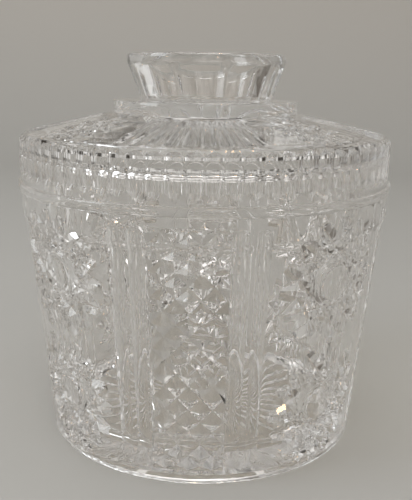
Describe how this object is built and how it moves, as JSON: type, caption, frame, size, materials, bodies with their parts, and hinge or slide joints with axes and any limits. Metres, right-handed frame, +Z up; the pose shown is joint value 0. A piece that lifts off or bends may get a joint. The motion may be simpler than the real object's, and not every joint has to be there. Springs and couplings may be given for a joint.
{
  "type": "biscuit jar",
  "caption": "Clear pressed-glass biscuit jar: tapered body with diamond, flute and star ornament, and a lift-off domed lid with a flared hollow knob.",
  "frame": {"origin": "middle of the foot, on the surface that the jar stands on", "axes": "+Z up along the jar's axis; a diamond panel faces -Y and the ornament repeats every quarter turn"},
  "size_m": [0.1716, 0.1716, 0.1734],
  "materials": {
    "jar_glass": "clear pressed, fire polished",
    "lid_glass": "clear pressed, fire polished"
  },
  "bodies": {
    "jar": {"jar": "jar_glass"},
    "lid": {"lid": "lid_glass"}
  },
  "joints": [
    {"name": "lid_lift", "type": "slide", "parent": "jar", "child": "lid", "axis": [0, 0, 1], "range_m": [0, 0.06]}
  ]
}
